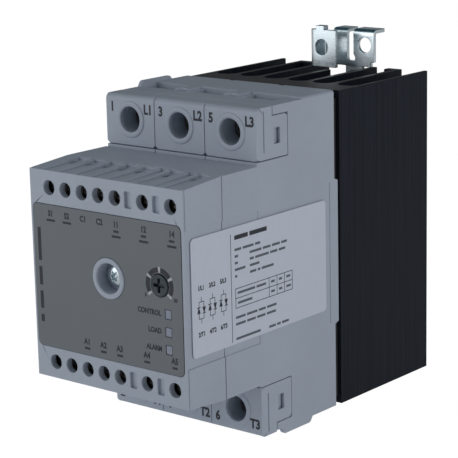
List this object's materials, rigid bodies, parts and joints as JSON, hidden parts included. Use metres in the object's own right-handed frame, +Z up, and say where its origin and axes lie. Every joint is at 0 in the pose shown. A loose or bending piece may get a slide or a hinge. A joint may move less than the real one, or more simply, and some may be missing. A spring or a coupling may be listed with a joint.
{
  "type": "solid state relay",
  "caption": "Three-pole solid state relay with finned heat sink, plug-on control module, pull-off terminal covers and a DIN rail bracket.",
  "frame": {"origin": "on the rear face of the rail plate, at mid width, on the rail's centre line", "axes": "+Z up, -Y is the front with the control terminals, +X to the right seen from the front"},
  "size_m": [0.0701, 0.1474, 0.1388],
  "materials": {
    "anodised_aluminium": "black anodised extrusion, bare on the sawn ends",
    "grey_plastic": "light grey moulded plastic, fine texture",
    "panel_plastic": "mid grey printed front plate",
    "label_film": "pale satin label film",
    "black_plastic": "black moulded plastic",
    "dial_plastic": "dark blue grey dial",
    "lamp_plastic": "frosted clear light pipe",
    "zinc_plate": "bright zinc plated sheet steel",
    "screw_steel": "nickel plated screws with a warm tint",
    "copper": "copper bar",
    "circuit_board": "green circuit board",
    "ceramic": "ceramic substrate",
    "spring_steel": "bright spring wire"
  },
  "bodies": {
    "root": {"heat_sink": "anodised_aluminium", "base_plate": "black_plastic", "power_housing": "grey_plastic", "gate_board": "circuit_board", "board_link": "black_plastic", "control_cover": "grey_plastic", "control_case": "grey_plastic", "face_plate": "panel_plastic", "rating_label": "label_film", "upper_terminal_block": "black_plastic", "lower_terminal_block": "black_plastic", "control_board": "circuit_board", "alarm_relay": "black_plastic", "potentiometer": "black_plastic", "light_pipe": "lamp_plastic", "mounting_bracket": "zinc_plate", "latch_spring": "spring_steel", "thyristor_module_1": "ceramic", "thyristor_module_2": "ceramic", "thyristor_module_3": "ceramic", "terminal_bar_L1": "copper", "terminal_bar_L2": "copper", "terminal_bar_L3": "copper", "terminal_bar_T1": "copper", "terminal_bar_T2": "copper", "terminal_bar_T3": "copper"},
    "line_cover_1": {"line_cover_1": "grey_plastic"},
    "line_cover_2": {"line_cover_2": "grey_plastic"},
    "line_cover_3": {"line_cover_3": "grey_plastic"},
    "load_cover_1": {"load_cover_1": "grey_plastic"},
    "load_cover_2": {"load_cover_2": "grey_plastic"},
    "load_cover_3": {"load_cover_3": "grey_plastic"},
    "power_screw_L1": {"power_screw_L1": "screw_steel"},
    "power_screw_L2": {"power_screw_L2": "screw_steel"},
    "power_screw_L3": {"power_screw_L3": "screw_steel"},
    "power_screw_T1": {"power_screw_T1": "screw_steel"},
    "power_screw_T2": {"power_screw_T2": "screw_steel"},
    "power_screw_T3": {"power_screw_T3": "screw_steel"},
    "clamp_cage_L1": {"clamp_cage_L1": "zinc_plate"},
    "clamp_cage_L2": {"clamp_cage_L2": "zinc_plate"},
    "clamp_cage_L3": {"clamp_cage_L3": "zinc_plate"},
    "clamp_cage_T1": {"clamp_cage_T1": "zinc_plate"},
    "clamp_cage_T2": {"clamp_cage_T2": "zinc_plate"},
    "clamp_cage_T3": {"clamp_cage_T3": "zinc_plate"},
    "control_screw_S1": {"control_screw_S1": "screw_steel"},
    "control_screw_S2": {"control_screw_S2": "screw_steel"},
    "control_screw_C1": {"control_screw_C1": "screw_steel"},
    "control_screw_C2": {"control_screw_C2": "screw_steel"},
    "control_screw_11": {"control_screw_11": "screw_steel"},
    "control_screw_12": {"control_screw_12": "screw_steel"},
    "control_screw_14": {"control_screw_14": "screw_steel"},
    "control_screw_A1": {"control_screw_A1": "screw_steel"},
    "control_screw_A2": {"control_screw_A2": "screw_steel"},
    "control_screw_A3": {"control_screw_A3": "screw_steel"},
    "control_screw_A4": {"control_screw_A4": "screw_steel"},
    "control_screw_A5": {"control_screw_A5": "screw_steel"},
    "setting_dial": {"setting_dial": "dial_plastic"},
    "fixing_screw": {"fixing_screw": "zinc_plate"},
    "rail_latch": {"rail_latch": "black_plastic"}
  },
  "joints": [
    {"name": "power_screw_L1_turn", "type": "hinge", "parent": "root", "child": "power_screw_L1", "pos_m": [-0.023, -0.09, 0.0494], "axis": [0, 1, 0], "range_deg": [0, 2251]},
    {"name": "clamp_cage_L1_lift", "type": "slide", "parent": "root", "child": "clamp_cage_L1", "axis": [0, -1, 0], "range_m": [0, 0.005]},
    {"name": "line_cover_1_pull", "type": "slide", "parent": "root", "child": "line_cover_1", "axis": [0, -1, 0], "range_m": [0, 0.018]},
    {"name": "power_screw_L2_turn", "type": "hinge", "parent": "root", "child": "power_screw_L2", "pos_m": [0, -0.09, 0.0494], "axis": [0, 1, 0], "range_deg": [0, 2251]},
    {"name": "clamp_cage_L2_lift", "type": "slide", "parent": "root", "child": "clamp_cage_L2", "axis": [0, -1, 0], "range_m": [0, 0.005]},
    {"name": "line_cover_2_pull", "type": "slide", "parent": "root", "child": "line_cover_2", "axis": [0, -1, 0], "range_m": [0, 0.018]},
    {"name": "power_screw_L3_turn", "type": "hinge", "parent": "root", "child": "power_screw_L3", "pos_m": [0.023, -0.09, 0.0494], "axis": [0, 1, 0], "range_deg": [0, 2251]},
    {"name": "clamp_cage_L3_lift", "type": "slide", "parent": "root", "child": "clamp_cage_L3", "axis": [0, -1, 0], "range_m": [0, 0.005]},
    {"name": "line_cover_3_pull", "type": "slide", "parent": "root", "child": "line_cover_3", "axis": [0, -1, 0], "range_m": [0, 0.018]},
    {"name": "power_screw_T1_turn", "type": "hinge", "parent": "root", "child": "power_screw_T1", "pos_m": [-0.023, -0.09, -0.0494], "axis": [0, 1, 0], "range_deg": [0, 2251]},
    {"name": "clamp_cage_T1_lift", "type": "slide", "parent": "root", "child": "clamp_cage_T1", "axis": [0, -1, 0], "range_m": [0, 0.005]},
    {"name": "load_cover_1_pull", "type": "slide", "parent": "root", "child": "load_cover_1", "axis": [0, -1, 0], "range_m": [0, 0.018]},
    {"name": "power_screw_T2_turn", "type": "hinge", "parent": "root", "child": "power_screw_T2", "pos_m": [0, -0.09, -0.0494], "axis": [0, 1, 0], "range_deg": [0, 2251]},
    {"name": "clamp_cage_T2_lift", "type": "slide", "parent": "root", "child": "clamp_cage_T2", "axis": [0, -1, 0], "range_m": [0, 0.005]},
    {"name": "load_cover_2_pull", "type": "slide", "parent": "root", "child": "load_cover_2", "axis": [0, -1, 0], "range_m": [0, 0.018]},
    {"name": "power_screw_T3_turn", "type": "hinge", "parent": "root", "child": "power_screw_T3", "pos_m": [0.023, -0.09, -0.0494], "axis": [0, 1, 0], "range_deg": [0, 2251]},
    {"name": "clamp_cage_T3_lift", "type": "slide", "parent": "root", "child": "clamp_cage_T3", "axis": [0, -1, 0], "range_m": [0, 0.005]},
    {"name": "load_cover_3_pull", "type": "slide", "parent": "root", "child": "load_cover_3", "axis": [0, -1, 0], "range_m": [0, 0.018]},
    {"name": "control_screw_S1_turn", "type": "hinge", "parent": "root", "child": "control_screw_S1", "pos_m": [-0.0258, -0.135, 0.0312], "axis": [0, 1, 0], "range_deg": [0, 1890]},
    {"name": "control_screw_S2_turn", "type": "hinge", "parent": "root", "child": "control_screw_S2", "pos_m": [-0.0181, -0.135, 0.0312], "axis": [0, 1, 0], "range_deg": [0, 1890]},
    {"name": "control_screw_C1_turn", "type": "hinge", "parent": "root", "child": "control_screw_C1", "pos_m": [-0.0104, -0.135, 0.0312], "axis": [0, 1, 0], "range_deg": [0, 1890]},
    {"name": "control_screw_C2_turn", "type": "hinge", "parent": "root", "child": "control_screw_C2", "pos_m": [-0.0028, -0.135, 0.0312], "axis": [0, 1, 0], "range_deg": [0, 1890]},
    {"name": "control_screw_11_turn", "type": "hinge", "parent": "root", "child": "control_screw_11", "pos_m": [0.0048, -0.135, 0.0312], "axis": [0, 1, 0], "range_deg": [0, 1890]},
    {"name": "control_screw_12_turn", "type": "hinge", "parent": "root", "child": "control_screw_12", "pos_m": [0.01715, -0.135, 0.0312], "axis": [0, 1, 0], "range_deg": [0, 1890]},
    {"name": "control_screw_14_turn", "type": "hinge", "parent": "root", "child": "control_screw_14", "pos_m": [0.0295, -0.135, 0.0312], "axis": [0, 1, 0], "range_deg": [0, 1890]},
    {"name": "control_screw_A1_turn", "type": "hinge", "parent": "root", "child": "control_screw_A1", "pos_m": [-0.0106, -0.135, -0.0312], "axis": [0, 1, 0], "range_deg": [0, 1890]},
    {"name": "control_screw_A2_turn", "type": "hinge", "parent": "root", "child": "control_screw_A2", "pos_m": [-0.003, -0.135, -0.0312], "axis": [0, 1, 0], "range_deg": [0, 1890]},
    {"name": "control_screw_A3_turn", "type": "hinge", "parent": "root", "child": "control_screw_A3", "pos_m": [0.0046, -0.135, -0.0312], "axis": [0, 1, 0], "range_deg": [0, 1890]},
    {"name": "control_screw_A4_turn", "type": "hinge", "parent": "root", "child": "control_screw_A4", "pos_m": [0.01695, -0.135, -0.0312], "axis": [0, 1, 0], "range_deg": [0, 1890]},
    {"name": "control_screw_A5_turn", "type": "hinge", "parent": "root", "child": "control_screw_A5", "pos_m": [0.02935, -0.135, -0.0312], "axis": [0, 1, 0], "range_deg": [0, 1890]},
    {"name": "setting_dial_turn", "type": "hinge", "parent": "root", "child": "setting_dial", "pos_m": [0.024, -0.14, 0.0041], "axis": [0, 1, 0], "range_deg": [-135, 135]},
    {"name": "fixing_screw_turn", "type": "hinge", "parent": "root", "child": "fixing_screw", "pos_m": [0.001, -0.12, 0.003], "axis": [0, 1, 0], "range_deg": [-1530, 0]},
    {"name": "rail_latch_pull", "type": "slide", "parent": "root", "child": "rail_latch", "axis": [0, 0, -1], "range_m": [0, 0.0035], "stiffness_N_per_m": 900, "springref_m": -0.001, "deforming": ["latch_spring"]}
  ],
  "couplings": [
    {"joint": "power_screw_L1_turn", "follows": "clamp_cage_L1_lift", "rad_per_m": 7854},
    {"joint": "power_screw_L2_turn", "follows": "clamp_cage_L2_lift", "rad_per_m": 7854},
    {"joint": "power_screw_L3_turn", "follows": "clamp_cage_L3_lift", "rad_per_m": 7854},
    {"joint": "power_screw_T1_turn", "follows": "clamp_cage_T1_lift", "rad_per_m": 7854},
    {"joint": "power_screw_T2_turn", "follows": "clamp_cage_T2_lift", "rad_per_m": 7854},
    {"joint": "power_screw_T3_turn", "follows": "clamp_cage_T3_lift", "rad_per_m": 7854}
  ]
}
